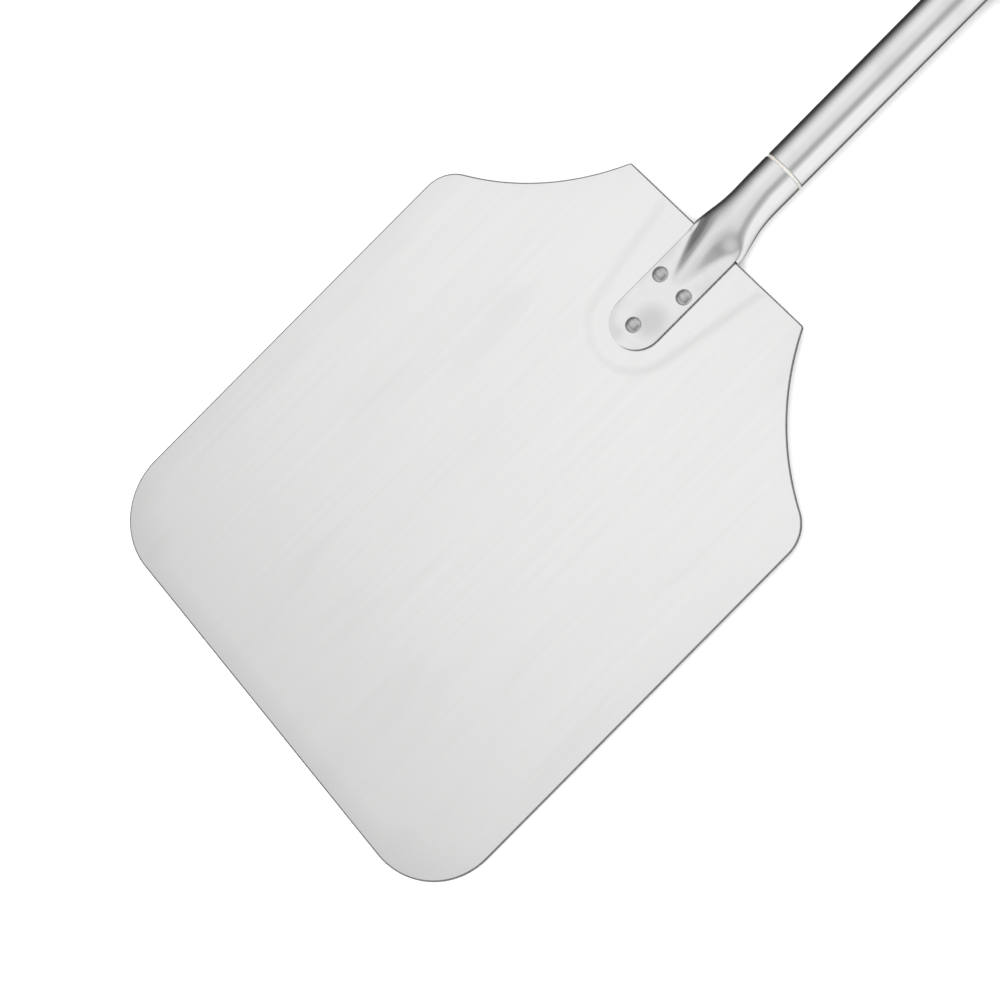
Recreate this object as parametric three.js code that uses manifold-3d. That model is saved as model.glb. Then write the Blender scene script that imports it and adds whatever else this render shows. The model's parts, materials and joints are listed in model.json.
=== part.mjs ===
// Pizza peel: an aluminium blade riveted in the forked end of a flattened tube, and a tube handle with
// a beech grip that screws into the tube's round end.
//
// Units are millimetres. The head is laid out in its own frame: x runs from the middle of the blade's
// front edge along the handle, z = 0 is the middle of the blade's thickness. The finished peel is then
// pitched so that it stands on the blade's front edge and on the underside of the socket.

import * as THREE from "three";
import { mergeVertices } from "three/addons/utils/BufferGeometryUtils.js";
import Module from "manifold-3d";

const wasm = await Module();
wasm.setup();

// ---- driving dimensions ------------------------------------------------------------------------

const GAP = 0.3; // between pieces that touch
const WELD = 1e-4; // points closer than this are one point
const CLEAR = 60; // size of a cutter that has to reach right through the tube or the grip
const OVERSHOOT = 5; // how far a cutter runs past the tube's ends

// blade
const BLADE_LENGTH = 355.6;
const BLADE_WIDTH = 304.8; // half way along
const BLADE_TAPER = 5.4; // how much wider the front edge is than the shoulder line
const BLADE_THICKNESS = 1.6;
const FRONT_CORNER_RADIUS = 43.7;
const REAR_CORNER_X = 281.3; // where the side line would meet the concave shoulder
const REAR_CORNER_RADIUS = 22.2;
const SHOULDER_SAGITTA = 9.9; // depth of the concave shoulder curve
const BACK_EDGE_WIDTH = 138.3;
const ARC_STEP = 4.5; // longest chord on the outline's arcs

// pocket pressed in the blade round the tongue
const POCKET_CENTRE_X = 297;
const POCKET_RADIUS = 28;
const POCKET_HALF_WIDTH_AT_BACK = 39.5;
const POCKET_DEPTH = 1.2;
const POCKET_SLOPE_WIDTH = 9;
const PATCH_FRONT_X = 262; // the finely divided part of the blade that holds the pocket
const PATCH_HALF_WIDTH = 46;
const PATCH_STEP = 3.9;

// socket tube
const TUBE_RADIUS = 12.5;
const TUBE_WALL = 1.3;
const TUBE_AXIS_Z = 2.3;
const SOCKET_RIM_X = 406.4;
const TONGUE_CENTRE_X = 297;
const TONGUE_RADIUS = 16;
const FLAT_HALF_WIDTH = 17.4; // flattened tube before its edges are trimmed
const FLAT_HALF_HEIGHT = BLADE_THICKNESS / 2 + GAP + TUBE_WALL;
const CROTCH_X = BLADE_LENGTH + GAP; // the fork's slit ends just behind the blade
const HUMP_START_X = 324; // where the flattened tube starts to swell
const HUMP_START_HALF_WIDTH = 4;
const HUMP_SPREAD = 0.32; // growth of the hump's half width along the tube
const HUMP_ROUNDING = 1.8; // power that makes the hump's crest round and its foot soft
const HUMP_EASE = 0.03; // how softly the top's even climb starts and ends
const WINGS_END_X = 350; // the flat wings beside the hump fade from here
const WINGS_FADE_LENGTH = 22;
const UNDERSIDE_SWELL = 1.6; // power that holds back the underside's swell
const ROUND_FROM_X = 392;
const WIDTH_EASE_LENGTH = 46;
const SECTION_STATIONS = [
  276, 318, 327, 333, 339, 345, 350, CROTCH_X, 360, 364, 368, 373, 380, 387, 394, 400, SOCKET_RIM_X,
];
const SECTION_HALF_SEGMENTS = 22;

// rivets
const RIVET_SHANK_RADIUS = 2.4;
const RIVET_HEAD_RADIUS = 4.5;
const RIVET_HEAD_HEIGHT = 2.3;
const RIVET_FOOT_RADIUS = 4.1;
const RIVET_FOOT_HEIGHT = 1.8;
const RIVET_HOLE_REACH = 9; // above and below the blade, through all that the rivet joins
const RIVETS = { rivet_front: [294, 0], rivet_left: [323.3, 9.6], rivet_right: [323.3, -9.6] };

// screw joint
const THREAD_RADIUS = 7;
const BUSH_RADIUS = 10.75;
const BUSH_NOSE_RADIUS = 8.5;
const BUSH_NOSE_X = 380;
const BUSH_STEP_X = 394;
const BUSH_RIM_RECESS = 0.4;
const SPIGOT_TIP_X = 382;
const SPIGOT_PLUG_LENGTH = 22;
const WASHER_THICKNESS = 1.4;
const WASHER_RADIUS = 12.1;
const WASHER_BORE_RADIUS = 7.4;
const PIN_RADIUS = 1.5;
const PIN_LENGTH = 4.2;
const PIN_LOW_Z = TUBE_AXIS_Z - TUBE_RADIUS + 0.15;
const BUSH_PIN_X = 400;
const SPIGOT_PIN_X = 419;

// handle
const HANDLE_TUBE_X = SOCKET_RIM_X + WASHER_THICKNESS + 2 * GAP;
const HANDLE_TUBE_END_X = 602;
const GRIP_X = 550;
const GRIP_END_X = 660.4;
const GRIP_NECK_LENGTH = 12;
const GRIP_NECK_RADIUS = 14.1;
const GRIP_SHOULDER_RADIUS = 14.9;
const GRIP_RADIUS = 16.4;
const GRIP_SWELL = 0.8; // power that makes the swell full
const GRIP_ROUNDING_LENGTH = 11; // the round end draws in over this length
const GRIP_ROUNDING = 2.5; // power that makes the end draw in late
const GRIP_END_SHRINK = 0.75; // share of the section's area that the round end loses
const GRIP_STEPS = 16;
const GRIP_FLAT_X = 630;
const GRIP_FLAT_HALF_HEIGHT = 11;
const FERRULE_RADIUS = 15.6;
const GRIP_PIN_X = 578;
const GRIP_PIN_RADIUS = 2;
const HANG_HOLE_X = 645;
const HANG_HOLE_RADIUS = 4.2;
const EYELET_WALL = 0.8;
const EYELET_FLANGE_RADIUS = 7.2;
const EYELET_FLANGE_THICKNESS = 0.8;

// ---- materials ---------------------------------------------------------------------------------

const SHEET = new THREE.MeshStandardMaterial({ color: 0xe2e2e1, roughness: 0.38, metalness: 0.9 });
const TUBE = new THREE.MeshStandardMaterial({ color: 0xdededf, roughness: 0.25, metalness: 0.95 });
const RIVET = new THREE.MeshStandardMaterial({ color: 0xb9b9ba, roughness: 0.3, metalness: 0.95 });
const STEEL = new THREE.MeshStandardMaterial({ color: 0x9c9fa3, roughness: 0.3, metalness: 1 });
const NYLON = new THREE.MeshStandardMaterial({ color: 0xd9d9d4, roughness: 0.55, metalness: 0 });
const BEECH = new THREE.MeshStandardMaterial({ color: 0xc99a67, roughness: 0.6, metalness: 0 });

// ---- helpers -----------------------------------------------------------------------------------

function smoothstep(value, low, high) {
  const u = THREE.MathUtils.clamp((value - low) / (high - low), 0, 1);
  return u * u * (3 - 2 * u);
}

// A closed geometry as a solid for joining and cutting.
function toSolid(geometry) {
  const bare = geometry.clone();
  bare.deleteAttribute("normal");
  bare.deleteAttribute("uv");
  const merged = mergeVertices(bare, WELD);
  return new wasm.Manifold(
    new wasm.Mesh({
      numProp: 3,
      vertProperties: new Float32Array(merged.attributes.position.array),
      triVerts: new Uint32Array(merged.index.array),
    }),
  );
}

function toGeometry(solid) {
  const mesh = solid.getMesh();
  const geometry = new THREE.BufferGeometry();
  geometry.setAttribute("position", new THREE.BufferAttribute(new Float32Array(mesh.vertProperties), 3));
  geometry.setIndex(new THREE.BufferAttribute(new Uint32Array(mesh.triVerts), 1));
  geometry.computeVertexNormals();
  return geometry;
}

// geometry with each of the cutters taken away
function cut(geometry, cutters) {
  let solid = toSolid(geometry);
  for (const cutter of cutters) solid = solid.subtract(toSolid(cutter));
  return toGeometry(solid);
}

// A profile of [x, radius] points turned about the tube axis. Its outer side runs towards +x.
function turned(profile, segments = 32) {
  const points = profile.map(([x, radius]) => new THREE.Vector2(radius, x));
  const geometry = new THREE.LatheGeometry(points, segments);
  geometry.rotateZ(-Math.PI / 2);
  geometry.translate(0, 0, TUBE_AXIS_Z);
  return geometry;
}

// A cylinder along z through (x, y), from low to high.
function upright(x, y, radius, low, high, segments = 16) {
  const geometry = new THREE.CylinderGeometry(radius, radius, high - low, segments);
  geometry.rotateX(Math.PI / 2);
  geometry.translate(x, y, (low + high) / 2);
  return geometry;
}

// A cylinder across the handle at x, centred on the tube axis.
function crossways(x, radius, length, segments = 16) {
  const geometry = new THREE.CylinderGeometry(radius, radius, length, segments);
  geometry.translate(x, 0, TUBE_AXIS_Z);
  return geometry;
}

// ---- blade -------------------------------------------------------------------------------------

// Half the blade's width at x, along its straight side.
function sideY(x) {
  return BLADE_WIDTH / 2 + BLADE_TAPER * (0.5 - x / BLADE_LENGTH);
}

// Points on an arc from one angle to the other, ends included.
function arcPoints(centre, radius, from, to) {
  const steps = Math.max(2, Math.ceil((Math.abs(to - from) * radius) / ARC_STEP));
  const points = [];
  for (let i = 0; i <= steps; i++) {
    const angle = from + ((to - from) * i) / steps;
    const step = new THREE.Vector2(Math.cos(angle), Math.sin(angle)).multiplyScalar(radius);
    points.push(step.add(centre));
  }
  return points;
}

// Centre and radius of the concave shoulder curve between the rear corner and the shoulder tip.
function shoulderCircle() {
  const corner = new THREE.Vector2(REAR_CORNER_X, sideY(REAR_CORNER_X));
  const tip = new THREE.Vector2(BLADE_LENGTH, BACK_EDGE_WIDTH / 2);
  const chord = tip.clone().sub(corner);
  const radius = chord.lengthSq() / (8 * SHOULDER_SAGITTA) + SHOULDER_SAGITTA / 2;
  const outward = new THREE.Vector2(-chord.y, chord.x).normalize();
  const middle = corner.clone().add(tip).multiplyScalar(0.5);
  return { centre: middle.addScaledVector(outward, radius - SHOULDER_SAGITTA), radius, tip };
}

// The half outline on the +y side, from the middle of the front edge to the shoulder tip.
function halfOutline() {
  const lean = Math.atan(BLADE_TAPER / BLADE_LENGTH); // of the side line
  const front = new THREE.Vector2(FRONT_CORNER_RADIUS, 0);
  front.y = sideY(FRONT_CORNER_RADIUS) - FRONT_CORNER_RADIUS / Math.cos(lean);
  const shoulder = shoulderCircle();

  // the rear corner's circle touches the side line and the shoulder curve from inside
  const rear = new THREE.Vector2();
  let low = REAR_CORNER_X - 4 * REAR_CORNER_RADIUS;
  let high = REAR_CORNER_X;
  for (let i = 0; i < 50; i++) {
    const x = (low + high) / 2;
    rear.set(x, sideY(x) - REAR_CORNER_RADIUS / Math.cos(lean));
    if (rear.distanceTo(shoulder.centre) > shoulder.radius + REAR_CORNER_RADIUS) low = x;
    else high = x;
  }
  const meet = Math.atan2(shoulder.centre.y - rear.y, shoulder.centre.x - rear.x);
  const tipAngle = Math.atan2(shoulder.tip.y - shoulder.centre.y, shoulder.tip.x - shoulder.centre.x);
  const shoulderStart = meet - Math.PI;
  return [
    ...arcPoints(front, FRONT_CORNER_RADIUS, Math.PI, Math.PI / 2 - lean),
    ...arcPoints(rear, REAR_CORNER_RADIUS, Math.PI / 2 - lean, meet),
    ...arcPoints(shoulder.centre, shoulder.radius, shoulderStart, tipAngle).slice(1),
  ];
}

// How far (x, y) lies inside the pocket's centre line: positive inside, negative outside.
function insidePocket(x, y) {
  const run = BLADE_LENGTH - POCKET_CENTRE_X;
  const reach = Math.hypot(run, POCKET_HALF_WIDTH_AT_BACK);
  const lean = Math.asin(POCKET_RADIUS / reach) - Math.atan2(POCKET_HALF_WIDTH_AT_BACK, run);
  const along = x - POCKET_CENTRE_X;
  const across = Math.abs(y);
  // the leg leans outwards by -lean, and touches the round nose
  const legDistance = across * Math.cos(lean) + along * Math.sin(lean);
  const onLeg = along * Math.cos(lean) - across * Math.sin(lean) > 0;
  return POCKET_RADIUS - (onLeg ? legDistance : Math.hypot(along, across));
}

function pocketZ(x, y) {
  const half = POCKET_SLOPE_WIDTH / 2;
  return -POCKET_DEPTH * smoothstep(insidePocket(x, y), -half, half);
}

// Values from start to end in equal steps close to the given one.
function spread(start, end, step) {
  const count = Math.round(Math.abs(end - start) / step);
  return Array.from({ length: count + 1 }, (_, i) => start + ((end - start) * i) / count);
}

function bladeGeometry() {
  const left = halfOutline();
  const right = left.map((p) => new THREE.Vector2(p.x, -p.y)).reverse();
  const xs = spread(PATCH_FRONT_X, BLADE_LENGTH, PATCH_STEP);
  const ys = spread(-PATCH_HALF_WIDTH, PATCH_HALF_WIDTH, PATCH_STEP);
  const backEdge = ys.map((y) => new THREE.Vector2(BLADE_LENGTH, y)).reverse();
  const patchRim = [
    ...xs.map((x) => new THREE.Vector2(x, PATCH_HALF_WIDTH)).reverse(),
    ...ys.slice(1, -1).map((y) => new THREE.Vector2(PATCH_FRONT_X, y)).reverse(),
    ...xs.map((x) => new THREE.Vector2(x, -PATCH_HALF_WIDTH)),
  ];

  // flat triangles, wound so that they face +z
  const flat = [];
  const plain = [...left, ...patchRim, ...right];
  for (const triangle of THREE.ShapeUtils.triangulateShape(plain, [])) {
    const [a, b, c] = triangle.map((i) => plain[i]);
    const area = (b.x - a.x) * (c.y - a.y) - (b.y - a.y) * (c.x - a.x);
    flat.push(area > 0 ? [a, b, c] : [a, c, b]);
  }
  for (let i = 0; i + 1 < xs.length; i++) {
    for (let j = 0; j + 1 < ys.length; j++) {
      const a = new THREE.Vector2(xs[i], ys[j]);
      const b = new THREE.Vector2(xs[i + 1], ys[j]);
      const c = new THREE.Vector2(xs[i + 1], ys[j + 1]);
      const d = new THREE.Vector2(xs[i], ys[j + 1]);
      flat.push([a, b, c], [a, c, d]);
    }
  }

  const half = BLADE_THICKNESS / 2;
  const positions = [];
  const addPoint = (p, side) => positions.push(p.x, p.y, pocketZ(p.x, p.y) + side * half);
  for (const [a, b, c] of flat) {
    for (const p of [a, b, c]) addPoint(p, 1);
    for (const p of [a, c, b]) addPoint(p, -1);
  }
  const outline = [...left, ...backEdge, ...right];
  outline.forEach((p, i) => {
    const q = outline[(i + 1) % outline.length];
    // the outline runs clockwise seen from above
    for (const [point, side] of [[p, 1], [q, 1], [q, -1], [p, 1], [q, -1], [p, -1]]) addPoint(point, side);
  });
  const geometry = new THREE.BufferGeometry();
  geometry.setAttribute("position", new THREE.BufferAttribute(new Float32Array(positions), 3));
  return mergeVertices(geometry, WELD);
}

// The ways for the rivets' shanks, through the blade and both tongues.
function rivetHoles() {
  const radius = RIVET_SHANK_RADIUS + GAP;
  return Object.values(RIVETS).map(([x, y]) => upright(x, y, radius, -RIVET_HOLE_REACH, RIVET_HOLE_REACH));
}

function makeBlade() {
  return cut(bladeGeometry(), rivetHoles());
}

// ---- socket tube -------------------------------------------------------------------------------

// Middle height of the tube's section at x: in the pocket at the tongue, on the tube axis at the rim.
function sectionZ(x) {
  return -POCKET_DEPTH + (TUBE_AXIS_Z + POCKET_DEPTH) * smoothstep(x, CROTCH_X, ROUND_FROM_X - 2);
}

function sectionHalfWidth(x) {
  const ease = 1 - smoothstep(x, CROTCH_X, CROTCH_X + WIDTH_EASE_LENGTH);
  return TUBE_RADIUS + (FLAT_HALF_WIDTH - TUBE_RADIUS) * ease ** 2;
}

// Height of the section over its middle (side 1), which climbs evenly, or under it (side -1).
function sectionHalfHeight(x, side) {
  if (side > 0) {
    const even = THREE.MathUtils.clamp((x - HUMP_START_X) / (ROUND_FROM_X - HUMP_START_X), 0, 1);
    const climb = even - HUMP_EASE * Math.sin(2 * Math.PI * even);
    const flatTop = FLAT_HALF_HEIGHT - POCKET_DEPTH;
    return THREE.MathUtils.lerp(flatTop, TUBE_AXIS_Z + TUBE_RADIUS, climb) - sectionZ(x);
  }
  const swell = smoothstep(x, HUMP_START_X, ROUND_FROM_X) ** UNDERSIDE_SWELL;
  return FLAT_HALF_HEIGHT + (TUBE_RADIUS - FLAT_HALF_HEIGHT) * swell;
}

// Height of the section from its middle at y, over or under it: flat wings beside a hump where the tube
// is flattened, an ellipse where it is nearly round. inset moves the whole section inwards by that much.
function sectionHeight(x, y, side, inset) {
  const halfWidth = sectionHalfWidth(x) - inset;
  const halfHeight = sectionHalfHeight(x, side) - inset;
  const flat = FLAT_HALF_HEIGHT - inset;
  const edge = THREE.MathUtils.clamp((Math.abs(y) - (halfWidth - flat)) / flat, 0, 1);
  const humpHalfWidth = HUMP_START_HALF_WIDTH + HUMP_SPREAD * Math.max(0, x - HUMP_START_X) - inset;
  const hump = Math.max(0, 1 - (y / humpHalfWidth) ** 2) ** HUMP_ROUNDING;
  const winged = flat * Math.sqrt(1 - edge * edge) + (halfHeight - flat) * hump;
  const round = halfHeight * Math.sqrt(Math.max(0, 1 - (y / halfWidth) ** 2));
  return THREE.MathUtils.lerp(winged, round, smoothstep(x, WINGS_END_X, WINGS_END_X + WINGS_FADE_LENGTH));
}

// A closed loft through the tube's sections at the given stations.
function loft(stations, inset) {
  const ring = 2 * SECTION_HALF_SEGMENTS;
  const positions = [];
  const indices = [];
  for (const x of stations) {
    const halfWidth = sectionHalfWidth(x) - inset;
    for (let k = 0; k < ring; k++) {
      const angle = (2 * Math.PI * k) / ring;
      const y = halfWidth * Math.cos(angle);
      const side = Math.sign(Math.round(Math.sin(angle) * 1e9));
      positions.push(x, y, sectionZ(x) + side * sectionHeight(x, y, side, inset));
    }
  }
  for (let i = 0; i + 1 < stations.length; i++) {
    for (let k = 0; k < ring; k++) {
      const a = i * ring + k;
      const b = i * ring + ((k + 1) % ring);
      indices.push(a, b, b + ring, a, b + ring, a + ring);
    }
  }
  const last = (stations.length - 1) * ring;
  for (let k = 1; k + 1 < ring; k++) {
    indices.push(0, k + 1, k, last, last + k, last + k + 1);
  }
  const geometry = new THREE.BufferGeometry();
  geometry.setAttribute("position", new THREE.BufferAttribute(new Float32Array(positions), 3));
  geometry.setIndex(indices);
  return geometry;
}

// Plan of the tongue and of the tube behind it, as a tall prism.
function tonguePlan() {
  const clear = FLAT_HALF_WIDTH + 3;
  const shape = new THREE.Shape();
  shape.moveTo(CROTCH_X, TONGUE_RADIUS);
  shape.lineTo(TONGUE_CENTRE_X, TONGUE_RADIUS);
  shape.absarc(TONGUE_CENTRE_X, 0, TONGUE_RADIUS, Math.PI / 2, (3 * Math.PI) / 2, false);
  shape.lineTo(CROTCH_X, -TONGUE_RADIUS);
  shape.lineTo(CROTCH_X, -clear);
  shape.lineTo(SOCKET_RIM_X + OVERSHOOT, -clear);
  shape.lineTo(SOCKET_RIM_X + OVERSHOOT, clear);
  shape.lineTo(CROTCH_X, clear);
  const geometry = new THREE.ExtrudeGeometry(shape, { depth: CLEAR, bevelEnabled: false, curveSegments: 10 });
  geometry.translate(0, 0, -CLEAR / 2);
  return geometry;
}

// The slit that the blade sits in, between the upper and the lower tongue.
function bladeSlit() {
  const length = CROTCH_X - SECTION_STATIONS[0];
  const slit = new THREE.BoxGeometry(length, 3 * FLAT_HALF_WIDTH, BLADE_THICKNESS + 2 * GAP);
  slit.translate(CROTCH_X - length / 2, 0, -POCKET_DEPTH);
  return slit;
}

function makeSocketTube() {
  const front = SECTION_STATIONS[0] - OVERSHOOT;
  const inner = [front, ...SECTION_STATIONS.slice(1, -1), SOCKET_RIM_X + OVERSHOOT];
  const tube = toSolid(loft(SECTION_STATIONS, 0)).subtract(toSolid(loft(inner, TUBE_WALL)));
  const trimmed = toGeometry(tube.intersect(toSolid(tonguePlan())));
  return cut(trimmed, [bladeSlit(), ...rivetHoles(), pinHole(BUSH_PIN_X)]);
}

// ---- rivets ------------------------------------------------------------------------------------

// A solid rivet with a domed head above the fork and a flat-topped foot below it.
function makeRivet([x, y]) {
  const seat = -POCKET_DEPTH + FLAT_HALF_HEIGHT + GAP;
  const footSeat = -POCKET_DEPTH - FLAT_HALF_HEIGHT - GAP;
  const profile = [
    [0, footSeat - RIVET_FOOT_HEIGHT],
    [RIVET_FOOT_RADIUS - 0.6, footSeat - RIVET_FOOT_HEIGHT],
    [RIVET_FOOT_RADIUS, footSeat - RIVET_FOOT_HEIGHT / 2],
    [RIVET_FOOT_RADIUS - 0.2, footSeat],
    [RIVET_SHANK_RADIUS, footSeat],
    [RIVET_SHANK_RADIUS, seat],
    [RIVET_HEAD_RADIUS, seat],
  ];
  for (const turn of [0.16, 0.34, 0.56, 0.78]) {
    const angle = (turn * Math.PI) / 2;
    profile.push([RIVET_HEAD_RADIUS * Math.cos(angle), seat + RIVET_HEAD_HEIGHT * Math.sin(angle)]);
  }
  profile.push([0, seat + RIVET_HEAD_HEIGHT]);
  const geometry = new THREE.LatheGeometry(profile.map((p) => new THREE.Vector2(...p)), 18);
  geometry.rotateX(Math.PI / 2);
  geometry.translate(x, y, 0);
  return geometry;
}

// ---- screw joint -------------------------------------------------------------------------------

// A flush pin from the tube's underside at x into the piece inside it.
function makePin(x) {
  return upright(x, 0, PIN_RADIUS, PIN_LOW_Z, PIN_LOW_Z + PIN_LENGTH);
}

// The way for that pin, open to below.
function pinHole(x) {
  return upright(x, 0, PIN_RADIUS + GAP, PIN_LOW_Z - 2 * PIN_RADIUS, PIN_LOW_Z + PIN_LENGTH + GAP);
}

function makeSocketBush() {
  const rim = SOCKET_RIM_X - BUSH_RIM_RECESS;
  const bore = THREAD_RADIUS + GAP;
  const bush = turned([
    [BUSH_NOSE_X, bore],
    [BUSH_NOSE_X, BUSH_NOSE_RADIUS],
    [BUSH_STEP_X, BUSH_NOSE_RADIUS],
    [BUSH_STEP_X, BUSH_RADIUS],
    [rim, BUSH_RADIUS],
    [rim, bore],
    [BUSH_NOSE_X, bore],
  ]);
  return cut(bush, [pinHole(BUSH_PIN_X)]);
}

function makeWasher() {
  const low = SOCKET_RIM_X + GAP;
  const high = low + WASHER_THICKNESS;
  return turned([
    [low, WASHER_BORE_RADIUS],
    [low, WASHER_RADIUS],
    [high, WASHER_RADIUS],
    [high, WASHER_BORE_RADIUS],
    [low, WASHER_BORE_RADIUS],
  ]);
}

function makeSpigot() {
  const plugRadius = TUBE_RADIUS - TUBE_WALL - GAP - 0.05;
  const plugEnd = HANDLE_TUBE_X + SPIGOT_PLUG_LENGTH;
  const spigot = turned([
    [SPIGOT_TIP_X, 0],
    [SPIGOT_TIP_X, THREAD_RADIUS - 1],
    [SPIGOT_TIP_X + 1, THREAD_RADIUS],
    [HANDLE_TUBE_X, THREAD_RADIUS],
    [HANDLE_TUBE_X, plugRadius],
    [plugEnd - 1, plugRadius],
    [plugEnd, plugRadius - 1],
    [plugEnd, 0],
  ]);
  return cut(spigot, [pinHole(SPIGOT_PIN_X)]);
}

// ---- handle ------------------------------------------------------------------------------------

function makeHandleTube() {
  const inner = TUBE_RADIUS - TUBE_WALL;
  const tube = turned([
    [HANDLE_TUBE_X, inner],
    [HANDLE_TUBE_X, TUBE_RADIUS],
    [HANDLE_TUBE_END_X, TUBE_RADIUS],
    [HANDLE_TUBE_END_X, inner],
    [HANDLE_TUBE_X, inner],
  ], 44);
  return cut(tube, [pinHole(SPIGOT_PIN_X), crossways(GRIP_PIN_X, GRIP_PIN_RADIUS + GAP, CLEAR)]);
}

function makeFerrule() {
  const low = GRIP_X;
  const high = GRIP_X + GRIP_NECK_LENGTH - GAP;
  const inner = GRIP_NECK_RADIUS + GAP;
  return turned([
    [low, inner],
    [low, FERRULE_RADIUS - 0.8],
    [low + 0.8, FERRULE_RADIUS],
    [high, FERRULE_RADIUS],
    [high, inner],
    [low, inner],
  ]);
}

// Outer radius of the grip behind its neck: swells to the middle, then draws in to a round end.
function gripRadius(x) {
  const start = GRIP_X + GRIP_NECK_LENGTH;
  const swell = Math.sin((Math.PI * (x - start)) / (GRIP_END_X - start)) ** GRIP_SWELL;
  const body = THREE.MathUtils.lerp(GRIP_SHOULDER_RADIUS, GRIP_RADIUS, swell);
  const end = THREE.MathUtils.clamp((x - GRIP_END_X) / GRIP_ROUNDING_LENGTH + 1, 0, 1);
  return body * Math.sqrt(1 - GRIP_END_SHRINK * end ** GRIP_ROUNDING);
}

function makeGrip() {
  const bore = TUBE_RADIUS + GAP;
  const bodyStart = GRIP_X + GRIP_NECK_LENGTH;
  const boreEnd = HANDLE_TUBE_END_X + GAP;
  const profile = [
    [boreEnd, 0],
    [boreEnd, bore],
    [GRIP_X, bore],
    [GRIP_X, GRIP_NECK_RADIUS],
    [bodyStart, GRIP_NECK_RADIUS],
  ];
  for (let i = 0; i <= GRIP_STEPS; i++) {
    const x = bodyStart + ((GRIP_END_X - bodyStart) * i) / GRIP_STEPS;
    profile.push([x, gripRadius(x)]);
  }
  profile.push([GRIP_END_X, 0]);
  const flats = [1, -1].map((side) => {
    const block = new THREE.BoxGeometry(CLEAR, CLEAR, CLEAR);
    block.translate(GRIP_FLAT_X + CLEAR / 2, 0, TUBE_AXIS_Z + side * (GRIP_FLAT_HALF_HEIGHT + CLEAR / 2));
    return block;
  });
  const eyeletRadius = HANG_HOLE_RADIUS + EYELET_WALL;
  const hangHole = upright(HANG_HOLE_X, 0, eyeletRadius + GAP, -CLEAR / 2, CLEAR / 2, 20);
  const pinWay = crossways(GRIP_PIN_X, GRIP_PIN_RADIUS + GAP, CLEAR);
  return cut(turned(profile), [...flats, hangHole, pinWay]);
}

function makeGripPin() {
  return crossways(GRIP_PIN_X, GRIP_PIN_RADIUS, 2 * (gripRadius(GRIP_PIN_X) - 0.2));
}

function makeEyelet() {
  const half = GRIP_FLAT_HALF_HEIGHT + GAP;
  const outer = HANG_HOLE_RADIUS + EYELET_WALL;
  const top = half + EYELET_FLANGE_THICKNESS;
  const profile = [
    [HANG_HOLE_RADIUS, -top],
    [EYELET_FLANGE_RADIUS, -top],
    [EYELET_FLANGE_RADIUS, -half],
    [outer, -half],
    [outer, half],
    [EYELET_FLANGE_RADIUS, half],
    [EYELET_FLANGE_RADIUS, top],
    [HANG_HOLE_RADIUS, top],
    [HANG_HOLE_RADIUS, -top],
  ];
  const geometry = new THREE.LatheGeometry(profile.map((p) => new THREE.Vector2(...p)), 20);
  geometry.rotateX(Math.PI / 2);
  geometry.translate(HANG_HOLE_X, 0, TUBE_AXIS_Z);
  return geometry;
}

// ---- assembly ----------------------------------------------------------------------------------

// The peel stands on its front edge and on the lowest part of the socket: the steepest line from the
// front edge's lower corner to the underside of the tube's sections.
function restPitch() {
  const drop = (x) => sectionHalfHeight(x, -1) - sectionZ(x) - BLADE_THICKNESS / 2;
  return Math.max(...SECTION_STATIONS.map((x) => Math.atan2(drop(x), x)));
}

const peel = new THREE.Group();

function addPiece(name, geometry, material) {
  const mesh = new THREE.Mesh(geometry, material);
  mesh.name = name;
  peel.add(mesh);
}

addPiece("blade", makeBlade(), SHEET);
addPiece("socket_tube", makeSocketTube(), TUBE);
for (const [name, place] of Object.entries(RIVETS)) addPiece(name, makeRivet(place), RIVET);
addPiece("socket_bush", makeSocketBush(), TUBE);
addPiece("bush_pin", makePin(BUSH_PIN_X), STEEL);
addPiece("joint_washer", makeWasher(), NYLON);
addPiece("threaded_spigot", makeSpigot(), STEEL);
addPiece("spigot_pin", makePin(SPIGOT_PIN_X), STEEL);
addPiece("handle_tube", makeHandleTube(), TUBE);
addPiece("ferrule", makeFerrule(), TUBE);
addPiece("grip", makeGrip(), BEECH);
addPiece("grip_pin", makeGripPin(), STEEL);
addPiece("hang_eyelet", makeEyelet(), STEEL);

// pitched to stand, then moved so that the origin is the middle of its footprint
peel.rotation.y = -restPitch();
peel.updateMatrixWorld(true);
const box = new THREE.Box3().setFromObject(peel, true);
peel.position.set(-(box.min.x + box.max.x) / 2, 0, -box.min.z);

export default peel;
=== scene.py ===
"""Looks of the pizza peel: a riveted aluminium blade, its formed tube socket and a screw-in handle.

Shapes are laid out in the head's own frame, in millimetres: x runs from the middle of the blade's front
edge along the handle, y across it, and z = 0 is the middle of the blade's thickness. HEAD places that
frame in the row's frame, in metres.
"""

import json
import math

import bmesh
import bpy
from mathutils import Matrix, Vector
from mathutils.geometry import delaunay_2d_cdt


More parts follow.
